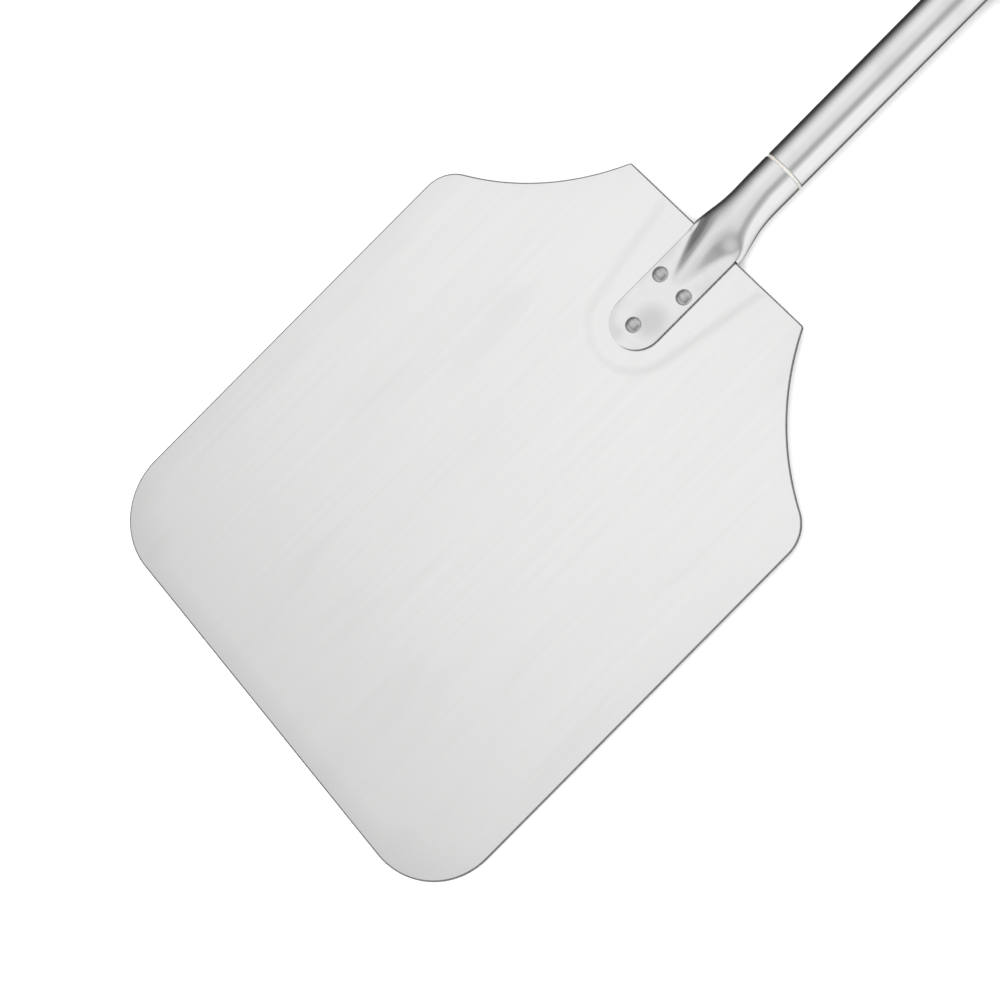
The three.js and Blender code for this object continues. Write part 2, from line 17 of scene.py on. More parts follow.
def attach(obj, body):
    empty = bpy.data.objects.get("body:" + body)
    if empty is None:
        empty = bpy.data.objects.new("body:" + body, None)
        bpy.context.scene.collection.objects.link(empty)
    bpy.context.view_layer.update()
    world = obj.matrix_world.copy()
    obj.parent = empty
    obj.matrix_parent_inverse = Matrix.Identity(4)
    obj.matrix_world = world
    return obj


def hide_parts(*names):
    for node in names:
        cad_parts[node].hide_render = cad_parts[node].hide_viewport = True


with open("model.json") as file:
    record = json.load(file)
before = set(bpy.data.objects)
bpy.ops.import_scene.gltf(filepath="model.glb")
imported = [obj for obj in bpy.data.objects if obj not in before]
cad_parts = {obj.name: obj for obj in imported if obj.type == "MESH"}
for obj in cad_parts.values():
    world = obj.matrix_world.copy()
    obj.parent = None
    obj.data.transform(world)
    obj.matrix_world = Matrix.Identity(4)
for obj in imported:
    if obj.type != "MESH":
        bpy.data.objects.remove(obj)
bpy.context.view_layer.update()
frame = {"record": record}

# ---- dimensions, millimetres -------------------------------------------------------------------

MM = 0.001
MOUNT_X = 180.0  # the cooking face's mount lies this far behind the front edge

BLADE_LENGTH = 355.6
BLADE_WIDTH = 304.8
BLADE_TAPER = 5.4
BLADE_THICKNESS = 1.6
FRONT_CORNER_RADIUS = 43.7
REAR_CORNER_X = 281.3
REAR_CORNER_RADIUS = 22.2
SHOULDER_SAGITTA = 9.9
SHOULDER_TIP_RADIUS = 2.0
BACK_EDGE_WIDTH = 138.3
OUTLINE_STEP = 1.5

POCKET_CENTRE_X = 297.0
POCKET_RADIUS = 28.0
POCKET_HALF_WIDTH_AT_BACK = 39.5
POCKET_DEPTH = 1.2
POCKET_SLOPE_WIDTH = 9.0

GAP = 0.3
TUBE_RADIUS = 12.5
TUBE_WALL = 1.3
TUBE_AXIS_Z = 2.3
SOCKET_RIM_X = 406.4
TONGUE_CENTRE_X = 297.0
TONGUE_RADIUS = 16.0
FLAT_HALF_WIDTH = 17.4
FLAT_HALF_HEIGHT = BLADE_THICKNESS / 2 + GAP + TUBE_WALL
CROTCH_X = BLADE_LENGTH + GAP
HUMP_START_X = 324.0
UNDERSIDE_SWELL = 1.6
ROUND_FROM_X = 392.0
WIDTH_EASE_LENGTH = 40.0
WIDTH_EASE_POWER = 2.4
HUMP_EASE = 0.03
HUMP_START_HALF_WIDTH = 4.0
HUMP_SPREAD = 0.32
HUMP_ROUNDING = 1.8
HUMP_SHIFT = 2.2  # the press left the hump a little off the middle
LIP_HEIGHT = 1.0  # the slit's end stands up a little at the crotch's left corner
LIP_Y = 13.6
LIP_START_X = 349.0
LIP_END_X = 366.0
WINGS_END_X = 350.0
WINGS_FADE_LENGTH = 22.0

RIVETS = {"front": (294.0, 0.0), "left": (323.3, 9.6), "right": (323.3, -9.6)}
DARK_SPOT_CENTRE = (302.0, -6.0)  # on the upper tongue: the middle of a spot coloured darker round the front rivet
RIVET_SHANK_RADIUS = 2.4
RIVET_HEAD_RADIUS = 4.5
RIVET_HEAD_HEIGHT = 2.3
RIVET_FOOT_RADIUS = 4.1
RIVET_FOOT_HEIGHT = 1.8

THREAD_RADIUS = 7.0
THREAD_LEAD = 4.0
THREAD_DEPTH = 0.9
WASHER_THICKNESS = 1.4
WASHER_RADIUS = 12.1
BUSH_RADIUS = 10.75
BUSH_NOSE_RADIUS = 8.5
BUSH_NOSE_X = 380.0
BUSH_STEP_X = 394.0
SPIGOT_TIP_X = 382.0
SPIGOT_PLUG_LENGTH = 22.0
PIN_RADIUS = 1.55
PIN_LENGTH = 4.0
BUSH_PIN_X = 400.0
SPIGOT_PIN_X = 419.0

HANDLE_TUBE_X = SOCKET_RIM_X + WASHER_THICKNESS + 2 * GAP
HANDLE_TUBE_END_X = 602.0
GRIP_X = 550.0
GRIP_END_X = 660.4
GRIP_NECK_LENGTH = 12.0
GRIP_NECK_RADIUS = 14.1
GRIP_RADIUS = 16.4
GRIP_SHOULDER_RADIUS = 14.9
GRIP_ROUND_LENGTH = 11
GRIP_FLAT_X = 630.0
GRIP_FLAT_HALF_HEIGHT = 11.0
GRIP_FLAT_SOFTNESS = 0.5
GRIP_SEGMENTS = 96
FERRULE_RADIUS = 15.6
FERRULE_FRONT_ROUNDING = 1.1
BEAD_START = 4.5
BEAD_LENGTH = 3
BEAD_HEIGHT = 0.35
GRIP_PIN_X = 578.0
GRIP_PIN_RADIUS = 2.0
HANG_HOLE_X = 645.0
HANG_HOLE_RADIUS = 4.2
EYELET_WALL = 0.8
EYELET_FLANGE_RADIUS = 7.2
EYELET_FLANGE_THICKNESS = 0.8


def head_frame():
    """The head's frame as a matrix, from the mount on the cooking face."""
    mount = next(m for m in frame["record"]["mounts"] if m["name"] == "blade_top")
    up = Vector(mount["axis"])
    along = Vector((up.z, 0, -up.x))
    across = up.cross(along)
    origin = Vector(mount["pos_m"]) - along * MOUNT_X * MM - up * BLADE_THICKNESS / 2 * MM
    turn = Matrix((along, across, up)).transposed().to_4x4()
    return Matrix.Translation(origin) @ turn @ Matrix.Scale(MM, 4)


HEAD = head_frame()

# ---- helpers -----------------------------------------------------------------------------------


def smoothstep(value, low, high):
    u = min(1.0, max(0.0, (value - low) / (high - low)))
    return u * u * (3 - 2 * u)


def add_piece(name, points, faces, material, body, node, sharp_angle=40, edge_faces=0):
    """A piece from points in the head's frame, standing for one CAD node. The first edge_faces faces
    are its sheared edge."""
    mesh = bpy.data.meshes.new(name)
    mesh.from_pydata([HEAD @ Vector(p) for p in points], [], faces)
    mesh.materials.append(material)
    if edge_faces:
        # the edge faces take the dark edge material, which is partly painted shade
        mesh.materials.append(EDGE_AND_SHADE)
    for face in mesh.polygons[:edge_faces]:
        face.material_index = 1
    shape = bmesh.new()
    shape.from_mesh(mesh)
    bmesh.ops.remove_doubles(shape, verts=shape.verts, dist=2e-6)
    bmesh.ops.recalc_face_normals(shape, faces=shape.faces)
    shape.to_mesh(mesh)
    shape.free()
    mesh.shade_smooth()
    mesh.set_sharp_from_angle(angle=math.radians(sharp_angle))
    piece = bpy.data.objects.new(name, mesh)
    bpy.context.scene.collection.objects.link(piece)
    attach(piece, body)
    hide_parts(node)
    return piece


def bevel(piece, width, segments=3, angle=40):
    """Rounds the piece's hard edges by a modifier, width in millimetres."""
    modifier = piece.modifiers.new("rounded_edges", "BEVEL")
    modifier.width = width * MM
    modifier.segments = segments
    modifier.limit_method = "ANGLE"
    modifier.angle_limit = math.radians(angle)
    modifier.harden_normals = True


def rings_to_mesh(rings, closed):
    """Points and faces that join equal rings of points. closed joins the last ring to the first;
    otherwise the end rings get caps."""
    count = len(rings[0])
    points = [p for ring in rings for p in ring]
    faces = []
    for i in range(len(rings) if closed else len(rings) - 1):
        a = i * count
        b = ((i + 1) % len(rings)) * count
        for k in range(count):
            n = (k + 1) % count
            faces.append((a + k, a + n, b + n, b + k))
    if not closed:
        last = (len(rings) - 1) * count
        faces.append(tuple(range(count - 1, -1, -1)))
        faces.append(tuple(range(last, last + count)))
    return points, faces


def turned(profile, closed=False, segments=96):
    """A profile of (x, radius) turned about the tube axis."""
    rings = []
    for x, radius in profile:
        ring = []
        for k in range(segments):
            angle = 2 * math.pi * k / segments
            ring.append((x, radius * math.cos(angle), TUBE_AXIS_Z + radius * math.sin(angle)))
        rings.append(ring)
    return rings_to_mesh(rings, closed)


def upright(x, y, profile, closed=False, segments=64):
    """A profile of (z, radius) turned about the upright line through (x, y)."""
    rings = []
    for z, radius in profile:
        ring = []
        for k in range(segments):
            angle = 2 * math.pi * k / segments
            ring.append((x + radius * math.cos(angle), y + radius * math.sin(angle), z))
        rings.append(ring)
    return rings_to_mesh(rings, closed)


# ---- materials ---------------------------------------------------------------------------------


class Nodes:
    """A node tree, with short calls to add and join nodes."""

    def __init__(self, tree):
        self.tree = tree

    def add(self, kind, **settings):
        node = self.tree.nodes.new("ShaderNode" + kind)
        for key, value in settings.items():
            setattr(node, key, value)
        return node

    def join(self, source, target):
        self.tree.links.new(source, target)

    def between(self, value, low, high, out_low, out_high, interpolation="SMOOTHSTEP"):
        """value from low to high as a number from out_low to out_high."""
        node = self.add("MapRange", interpolation_type=interpolation)
        names = ("From Min", "From Max", "To Min", "To Max")
        for key, number in zip(names, (low, high, out_low, out_high)):
            node.inputs[key].default_value = number
        self.join(value, node.inputs["Value"])
        return node.outputs["Result"]

    def maths(self, operation, *values):
        node = self.add("Math", operation=operation)
        for socket, value in zip(node.inputs, values):
            if isinstance(value, (int, float)):
                socket.default_value = value
            else:
                self.join(value, socket)
        return node.outputs["Value"]

    def grey_ramp(self, factor, stops, interpolation="LINEAR"):
        """A colour ramp of grey levels. stops holds (position, level), in order."""
        node = self.add("ValToRGB")
        ramp = node.color_ramp
        ramp.interpolation = interpolation
        while len(ramp.elements) < len(stops):
            ramp.elements.new(0.5)
        for element, (position, level) in zip(ramp.elements, stops):
            element.position = position
            element.color = (level, level, level, 1)
        self.join(factor, node.inputs["Fac"])
        return node.outputs["Color"]


class MaterialNodes(Nodes):
    """A new material, with calls for its textures and its shader."""

    def __init__(self, name):
        self.material = bpy.data.materials.new(name)
        self.material.use_nodes = True
        super().__init__(self.material.node_tree)
        self.shader = self.tree.nodes["Principled BSDF"]

    def place(self, stretch):
        """The piece's own coordinates in metres, stretched along x, y and z."""
        mapping = self.add("Mapping")
        mapping.inputs["Scale"].default_value = stretch
        self.join(self.add("TexCoord").outputs["Object"], mapping.inputs["Vector"])
        return mapping.outputs["Vector"]

    def noise(self, stretch, scale, detail=3.0, roughness=0.5, distortion=0.0):
        node = self.add("TexNoise")
        node.inputs["Scale"].default_value = scale
        node.inputs["Detail"].default_value = detail
        node.inputs["Roughness"].default_value = roughness
        node.inputs["Distortion"].default_value = distortion
        self.join(self.place(stretch), node.inputs["Vector"])
        return node.outputs["Fac"]

    def blend(self, factor, a, b):
        """Colour a where factor is 0 and b where it is 1."""
        node = self.add("Mix", data_type="RGBA")
        self.join(factor, node.inputs["Factor"])
        for socket, colour in ((node.inputs["A"], a), (node.inputs["B"], b)):
            if isinstance(colour, tuple):
                socket.default_value = (*colour, 1)
            else:
                self.join(colour, socket)
        return node.outputs["Result"]

    def bump(self, height, strength, distance):
        """distance in metres."""
        node = self.add("Bump")
        node.inputs["Strength"].default_value = strength
        node.inputs["Distance"].default_value = distance
        self.join(height, node.inputs["Height"])
        self.join(node.outputs["Normal"], self.shader.inputs["Normal"])

    def set(self, **values):
        for key, value in values.items():
            self.shader.inputs[key.replace("_", " ").title()].default_value = value


def sheet_material():
    """Mill-finish aluminium sheet: rolling lines along the blade, faint smudges and long scuffs."""
    n = MaterialNodes("aluminium_sheet")
    n.set(metallic=1.0)
    rolling = n.noise((4, 300, 300), 1.0, detail=2)
    smudges = n.noise((1, 1, 1), 9.0, detail=2)
    scuffs = n.noise((10, 45, 45), 1.0, detail=2, distortion=0.4)
    clean = n.blend(n.between(rolling, 0.3, 0.7, 0, 1), (0.94, 0.94, 0.935), (0.93, 0.93, 0.925))
    n.join(n.blend(n.between(scuffs, 0.5, 0.8, 0, 0.5), clean, (0.88, 0.88, 0.875)),
           n.shader.inputs["Base Color"])
    base = n.between(smudges, 0.3, 0.7, 0.235, 0.262)
    n.join(n.maths("ADD", base, n.between(rolling, 0.3, 0.7, -0.008, 0.008)), n.shader.inputs["Roughness"])
    n.bump(smudges, 0.2, 0.0004)
    return n.material


def edge_and_shade_material():
    """The sheet's sheared edge: dull and dark, with cutting marks across it. The dark colour is partly
    painted shade, standing for the shade along the edges and in the slit beside the tongues.
    """
    n = MaterialNodes("sheared_edge_and_painted_shade")
    n.set(metallic=1.0)
    marks = n.noise((1, 1, 0.1), 1500.0, detail=2)
    # dark grey levels: partly the sheared metal's own dullness, partly painted shade along the edges
    n.join(n.blend(n.between(marks, 0.3, 0.7, 0, 1), (0.36, 0.36, 0.36), (0.24, 0.24, 0.24)),
           n.shader.inputs["Base Color"])
    n.join(n.between(marks, 0.3, 0.7, 0.35, 0.5), n.shader.inputs["Roughness"])
    n.bump(marks, 0.2, 0.00002)
    return n.material


def tube_material():
    """Bright drawn aluminium tube: fine drawing lines along it, darker in patches over the part the press
    flattened, and in a spot round the front rivet.
    """
    n = MaterialNodes("aluminium_tube")
    n.set(metallic=1.0)
    lines = n.noise((14, 700, 700), 1.0, detail=2)
    marks = n.noise((1, 1, 1), 42.0, detail=2)
    split = n.add("SeparateXYZ")
    n.join(n.place((1, 1, 1)), split.inputs["Vector"])
    pressed_end = (HEAD @ Vector((CROTCH_X, 0, 0))).x
    pressed = n.between(split.outputs["X"], pressed_end - 0.04, pressed_end, 1, 0)
    middle = HEAD @ Vector((*DARK_SPOT_CENTRE, 0))
    spot = n.add("VectorMath", operation="DISTANCE")
    spot.inputs[1].default_value = middle
    n.join(n.place((1, 1, 1)), spot.inputs[0])
    # a spot coloured darker towards its middle, round the front rivet
    dark_spot = n.between(spot.outputs["Value"], 0.003, 0.0145, 0.95, 0.0)
    patchy = n.maths("MAXIMUM", n.between(marks, 0.45, 0.68, 0.0, 0.5), dark_spot)
    dull = n.maths("MULTIPLY", pressed, patchy)
    bright = n.blend(n.between(marks, 0.5, 0.8, 0, 1), (0.88, 0.88, 0.88), (0.82, 0.82, 0.82))
    n.join(n.blend(dull, bright, (0.69, 0.69, 0.69)), n.shader.inputs["Base Color"])
    n.join(n.between(marks, 0.3, 0.7, 0.16, 0.24), n.shader.inputs["Roughness"])
    n.bump(lines, 0.12, 0.000005)
    return n.material


def rivet_material():
    """Peened aluminium rivets, greyer than the tube, with faint hammer marks."""
    n = MaterialNodes("aluminium_rivet")
    n.set(metallic=1.0)
    dents = n.noise((1, 1, 1), 450.0, detail=2)
    n.join(n.blend(n.between(dents, 0.3, 0.7, 0, 1), (0.62, 0.62, 0.62), (0.54, 0.54, 0.54)),
           n.shader.inputs["Base Color"])
    n.join(n.between(dents, 0.3, 0.7, 0.14, 0.22), n.shader.inputs["Roughness"])
    n.bump(dents, 0.15, 0.00002)
    return n.material


def steel_material():
    """Turned steel: fine rings round the work and slight discolouration."""
    n = MaterialNodes("turned_steel")
    n.set(metallic=1.0)
    rings = n.noise((2500, 8, 8), 1.0, detail=2)
    stain = n.noise((1, 1, 1), 120.0, detail=4)
    n.join(n.blend(n.between(stain, 0.4, 0.7, 0, 1), (0.62, 0.63, 0.65), (0.50, 0.50, 0.51)),
           n.shader.inputs["Base Color"])
    n.join(n.between(stain, 0.3, 0.7, 0.19, 0.265), n.shader.inputs["Roughness"])
    n.bump(rings, 0.3, 0.00001)
    return n.material


def nylon_material():
    """Natural nylon: slightly translucent, with a moulded skin."""
    n = MaterialNodes("natural_nylon")
    n.set(subsurface_weight=0.25, subsurface_scale=0.002)
    skin = n.noise((1, 1, 1), 500.0, detail=4)
    n.join(n.blend(n.between(skin, 0.3, 0.7, 0, 1), (0.60, 0.59, 0.55), (0.52, 0.51, 0.47)),
           n.shader.inputs["Base Color"])
    n.join(n.between(skin, 0.3, 0.7, 0.42, 0.58), n.shader.inputs["Roughness"])
    n.bump(skin, 0.2, 0.00005)
    return n.material


def beech_material():
    """Oiled beech: grain along the grip, fine dark flecks and slow colour bands."""
    n = MaterialNodes("oiled_beech")
    bands = n.noise((5, 120, 120), 1.0, detail=4, roughness=0.6, distortion=0.8)
    fibre = n.noise((40, 1400, 1400), 1.0, detail=3, roughness=0.6)
    flecks = n.noise((180, 1500, 1500), 1.0, detail=1)
    wood = n.blend(n.between(bands, 0.3, 0.7, 0, 1), (0.52, 0.31, 0.155), (0.37, 0.20, 0.09))
    fleck = n.between(flecks, 0.66, 0.74, 0, 0.55)
    n.join(n.blend(fleck, wood, (0.17, 0.08, 0.035)), n.shader.inputs["Base Color"])
    n.join(n.between(fibre, 0.3, 0.7, 0.42, 0.6), n.shader.inputs["Roughness"])
    n.bump(n.maths("SUBTRACT", fibre, fleck), 0.3, 0.00008)
    return n.material


SHEET = sheet_material()
EDGE_AND_SHADE = edge_and_shade_material()
TUBE = tube_material()
RIVET = rivet_material()
STEEL = steel_material()
NYLON = nylon_material()
BEECH = beech_material()

# ---- blade -------------------------------------------------------------------------------------


def side_y(x):
    """Half the blade's width at x, along its straight side."""
    return BLADE_WIDTH / 2 + BLADE_TAPER * (0.5 - x / BLADE_LENGTH)


def arc(centre, radius, start, end):
    """Points on an arc from one angle to the other, ends included."""
    steps = max(3, math.ceil(abs(end - start) * radius / OUTLINE_STEP))
    angles = [start + (end - start) * i / steps for i in range(steps + 1)]
    return [(centre[0] + radius * math.cos(a), centre[1] + radius * math.sin(a)) for a in angles]


def line(start, end):
    """Points on a straight line, without its ends."""
    steps = max(1, round(math.dist(start, end) / (6 * OUTLINE_STEP)))
    return [
        (start[0] + (end[0] - start[0]) * i / steps, start[1] + (end[1] - start[1]) * i / steps)
        for i in range(1, steps)
    ]


def shoulder_circle():
    """Centre and radius of the concave curve from the rear corner to the shoulder tip, and the tip."""
    corner = Vector((REAR_CORNER_X, side_y(REAR_CORNER_X)))
    tip = Vector((BLADE_LENGTH, BACK_EDGE_WIDTH / 2))
    chord = tip - corner
    radius = chord.length_squared / (8 * SHOULDER_SAGITTA) + SHOULDER_SAGITTA / 2
    outward = Vector((-chord.y, chord.x)).normalized()
    return (corner + tip) / 2 + outward * (radius - SHOULDER_SAGITTA), radius, tip


def half_outline():
    """The outline on the +y side, from the middle of the front edge to the middle of the back edge."""
    lean = math.atan(BLADE_TAPER / BLADE_LENGTH)
    front = (FRONT_CORNER_RADIUS, side_y(FRONT_CORNER_RADIUS) - FRONT_CORNER_RADIUS / math.cos(lean))
    centre, radius, tip = shoulder_circle()

    # the rear corner's circle touches the side line and the shoulder curve from inside
    low, high = REAR_CORNER_X - 4 * REAR_CORNER_RADIUS, REAR_CORNER_X
    for _ in range(50):
        x = (low + high) / 2
        rear = Vector((x, side_y(x) - REAR_CORNER_RADIUS / math.cos(lean)))
        if (rear - centre).length > radius + REAR_CORNER_RADIUS:
            low = x
        else:
            high = x
    meet = math.atan2(centre.y - rear.y, centre.x - rear.x)
    tip_angle = math.atan2(tip.y - centre.y, tip.x - centre.x)
    shoulder = arc(centre, radius, meet - math.pi, tip_angle)

    # the shoulder tip is rounded between the curve's last direction and the back edge
    before = Vector(shoulder[-3])
    rounding = rounded(before, tip, Vector((BLADE_LENGTH, 0)), SHOULDER_TIP_RADIUS)
    shoulder = [p for p in shoulder[1:] if (Vector(p) - tip).length > 1.6 * SHOULDER_TIP_RADIUS]
    corner = arc(front, FRONT_CORNER_RADIUS, math.pi, math.pi / 2 - lean)
    heel = arc(rear, REAR_CORNER_RADIUS, math.pi / 2 - lean, meet)
    return [
        (0.0, 0.0),
        *line((0, 0), corner[0]),
        *corner,
        *line(corner[-1], heel[0]),
        *heel,
        *shoulder,
        *rounding,
        *line(rounding[-1], (BLADE_LENGTH, 0)),
    ]


def rounded(before, corner, after, radius):
    """An arc that rounds the corner between two directions."""
    a = (before - corner).normalized()
    b = (after - corner).normalized()
    half = math.acos(max(-1, min(1, a.dot(b)))) / 2
    centre = corner + (a + b).normalized() * radius / math.sin(half)
    start = corner + a * radius / math.tan(half)
    end = corner + b * radius / math.tan(half)
    first = math.atan2(start.y - centre.y, start.x - centre.x)
    last = math.atan2(end.y - centre.y, end.x - centre.x)
    turn = (last - first + math.pi) % (2 * math.pi) - math.pi
    angles = [first + turn * i / 6 for i in range(7)]
    return [(centre.x + radius * math.cos(a), centre.y + radius * math.sin(a)) for a in angles]


def inset(outline, distance):
    """The outline moved inwards. It runs clockwise seen from above."""
    moved = []
    for i, p in enumerate(outline):
        before = Vector(outline[i - 1])
        after = Vector(outline[(i + 1) % len(outline)])
        point = Vector(p)
        a = (point - before).normalized()
        b = (after - point).normalized()
        inward = Vector((a.y + b.y, -a.x - b.x)).normalized()
        stretch = 1 / max(0.5, math.sqrt((1 + a.dot(b)) / 2))
        moved.append(tuple(point + inward * distance * stretch))
    return moved


def pocket_z(x, y):
    """Height of the sheet's middle: 0, and lower in the pocket pressed round the tongue."""
    run = BLADE_LENGTH - POCKET_CENTRE_X
    reach = math.hypot(run, POCKET_HALF_WIDTH_AT_BACK)
    lean = math.asin(POCKET_RADIUS / reach) - math.atan2(POCKET_HALF_WIDTH_AT_BACK, run)
    along = x - POCKET_CENTRE_X
    across = abs(y)
    if along * math.cos(lean) - across * math.sin(lean) > 0:
        distance = across * math.cos(lean) + along * math.sin(lean)
    else:
        distance = math.hypot(along, across)
    half = POCKET_SLOPE_WIDTH / 2
    return -POCKET_DEPTH * smoothstep(POCKET_RADIUS - distance, -half, half)


COARSE_STEP = 14.0
FINE_STEP = 1.7
FINE_FROM_X = 250.0  # the pocket's bend lies behind this and within FINE_HALF_WIDTH of the middle
FINE_HALF_WIDTH = 54.0
FINE_BACK_MARGIN = 2.2
COARSE_CLEARANCE = 6.0  # between the wide points and the close ones


def grid(step):
    """Points one step apart over the whole blade and a little past its sides."""
    reach = round((BLADE_WIDTH / 2 + BLADE_TAPER) / step)
    return [
        (i * step, j * step)
        for i in range(1, round(BLADE_LENGTH / step))
        for j in range(-reach, reach + 1)
    ]


def is_coarse(x, y):
    """Whether a wide-apart point belongs at (x, y)."""
    in_front = x < FINE_FROM_X - COARSE_CLEARANCE
    beside = abs(y) > FINE_HALF_WIDTH + COARSE_CLEARANCE
    margin = 14 if x < FINE_FROM_X else 8
    return (in_front or beside) and inside_blade(x, y, margin)


def is_fine(x, y):
    """Whether a close-together point belongs at (x, y)."""
    in_range = FINE_FROM_X < x < BLADE_LENGTH - FINE_BACK_MARGIN and abs(y) < FINE_HALF_WIDTH
    return in_range and inside_blade(x, y, 0)


def inner_points():
    """Points inside the blade: close together where the pocket bends it, wide apart elsewhere."""
    coarse = [p for p in grid(COARSE_STEP) if is_coarse(*p)]
    return coarse + [p for p in grid(FINE_STEP) if is_fine(*p)]


def inside_blade(x, y, margin):
    """Whether (x, y) is well inside the outline, judged by the straight sides and the corners."""
    centre, radius, _ = shoulder_circle()
    if x < margin or x > BLADE_LENGTH - margin or abs(y) > side_y(x) - margin:
        return False
    if x > REAR_CORNER_X - 30 and math.hypot(x - centre.x, abs(y) - centre.y) < radius + margin:
        return False
    corner_y = side_y(FRONT_CORNER_RADIUS) - FRONT_CORNER_RADIUS
    in_corner = x < FRONT_CORNER_RADIUS and abs(y) > corner_y
    far = math.hypot(x - FRONT_CORNER_RADIUS, abs(y) - corner_y) > FRONT_CORNER_RADIUS - margin
    return not (in_corner and far)


def make_blade():
    half = half_outline()
    outline = half + [(x, -y) for x, y in reversed(half[1:])]
    flat = BLADE_THICKNESS / 2
    # (inset, height) from the top face round the edge to the bottom face
    edge = [(0.8, flat), (0.5, 0.96 * flat), (0.28, 0.88 * flat), (0.1, 0.72 * flat), (0.0, 0.5 * flat)]
    edge += [(distance, -z) for distance, z in reversed(edge)]
    rings = []
    for distance, z in edge:
        rings.append([(x, y, z + pocket_z(x, y)) for x, y in inset(outline, distance)])
    count = len(outline)
    points = [p for ring in rings for p in ring]
    faces = []
    for i in range(len(rings) - 1):
        for k in range(count):
            n = (k + 1) % count
            faces.append((i * count + k, i * count + n, (i + 1) * count + n, (i + 1) * count + k))

    edge_faces = len(faces)
    rim = inset(outline, edge[0][0])
    loop = [(k, (k + 1) % count) for k in range(count)]
    flat_points = [Vector(p) for p in rim + inner_points()]
    corners, _, triangles, _, _, _ = delaunay_2d_cdt(flat_points, loop, [], 1, 1e-6)
    for side in (1, -1):
        start = len(points)
        points += [(p.x, p.y, side * flat + pocket_z(p.x, p.y)) for p in corners]
        faces += [tuple(start + i for i in triangle) for triangle in triangles]
    return add_piece("blade_sheet", points, faces, SHEET, "head", "blade", 60, edge_faces)


# ---- socket tube -------------------------------------------------------------------------------


def section_z(x):
    """Middle height of the tube's section: in the pocket at the tongue, on the tube axis at the rim."""
    return -POCKET_DEPTH + (TUBE_AXIS_Z + POCKET_DEPTH) * smoothstep(x, CROTCH_X, ROUND_FROM_X - 2)


def section_half_width(x):
    ease = 1 - smoothstep(x, CROTCH_X, CROTCH_X + WIDTH_EASE_LENGTH)
    return TUBE_RADIUS + (FLAT_HALF_WIDTH - TUBE_RADIUS) * ease**WIDTH_EASE_POWER


def section_half_height(x, side):
    """Height of the section over its middle (side 1), which climbs evenly, or under it (side -1)."""
    if side > 0:
        climb = min(1.0, max(0.0, (x - HUMP_START_X) / (ROUND_FROM_X - HUMP_START_X)))
        climb -= HUMP_EASE * math.sin(2 * math.pi * climb)
        low = FLAT_HALF_HEIGHT - POCKET_DEPTH
        return low + (TUBE_AXIS_Z + TUBE_RADIUS - low) * climb - section_z(x)
    swell = smoothstep(x, HUMP_START_X, ROUND_FROM_X) ** UNDERSIDE_SWELL
    return FLAT_HALF_HEIGHT + (TUBE_RADIUS - FLAT_HALF_HEIGHT) * swell


def lip_height(x, y):
    """How far the upper tongue's edge stands up near the crotch's corners."""
    along = smoothstep(x, LIP_START_X, CROTCH_X - 2) * (1 - smoothstep(x, CROTCH_X + 1, LIP_END_X))
    return LIP_HEIGHT * along * smoothstep(y, LIP_Y - 1, LIP_Y + 1)


def section_height(x, y, inset_by, side):
    """Height of the section from its middle at y, over or under it, moved inwards by inset_by."""
    half_width = section_half_width(x) - inset_by
    half_height = section_half_height(x, side) - inset_by
    flat = FLAT_HALF_HEIGHT - inset_by
    edge = min(1.0, max(0.0, (abs(y) - (half_width - flat)) / flat))
    hump_half_width = HUMP_START_HALF_WIDTH + HUMP_SPREAD * max(0.0, x - HUMP_START_X) - inset_by
    shifted = smoothstep(x, HUMP_START_X, CROTCH_X) * (1 - smoothstep(x, CROTCH_X, ROUND_FROM_X))
    off_centre = HUMP_SHIFT * shifted
    hump = max(0.0, 1 - ((y - off_centre) / hump_half_width) ** 2) ** HUMP_ROUNDING
    lip = lip_height(x, y) if side > 0 else 0.0
    rise = (((half_height - flat) * hump) ** 4 + lip**4) ** 0.25
    winged = (flat + rise) * math.sqrt(1 - edge * edge)
    round_height = half_height * math.sqrt(max(0.0, 1 - (y / half_width) ** 2))
    return winged + (round_height - winged) * smoothstep(x, WINGS_END_X, WINGS_END_X + WINGS_FADE_LENGTH)


TOP_STEPS = 56
SIDE_STEPS = 12
PLATE_SHARE = TONGUE_RADIUS / FLAT_HALF_WIDTH  # of the tube's half width, above the slit's edge


def contour(x, plate_half_width, half_width, inset_by):
    """The section at x as one loop: over the top, down the -y side, under the bottom, up the +y side."""
    middle = section_z(x)
    loop = []
    for side in (1, -1):
        for j in range(TOP_STEPS + 1):
            y = side * plate_half_width * math.cos(math.pi * j / TOP_STEPS)
            loop.append((x, y, middle + side * section_height(x, y, inset_by, side)))
        for k in range(1, SIDE_STEPS):
            reach = math.sin(math.pi * k / SIDE_STEPS)
            y = -side * (plate_half_width + (half_width - plate_half_width) * reach)
            up = side * ((2 * k < SIDE_STEPS) - (2 * k > SIDE_STEPS))
            loop.append((x, y, middle + up * section_height(x, y, inset_by, up)))
    return loop


def tongue_stations():
    """(x, half width) along the tongue, from its round end to the fork's crotch."""
    stations = []
    for i in range(15):
        angle = math.radians(6 + 84 * i / 14)
        x = TONGUE_CENTRE_X - TONGUE_RADIUS * math.cos(angle)
        stations.append((x, TONGUE_RADIUS * math.sin(angle)))
    steps = 40
    for i in range(1, steps):
        stations.append((TONGUE_CENTRE_X + (CROTCH_X - TONGUE_CENTRE_X) * i / steps, TONGUE_RADIUS))
    return stations


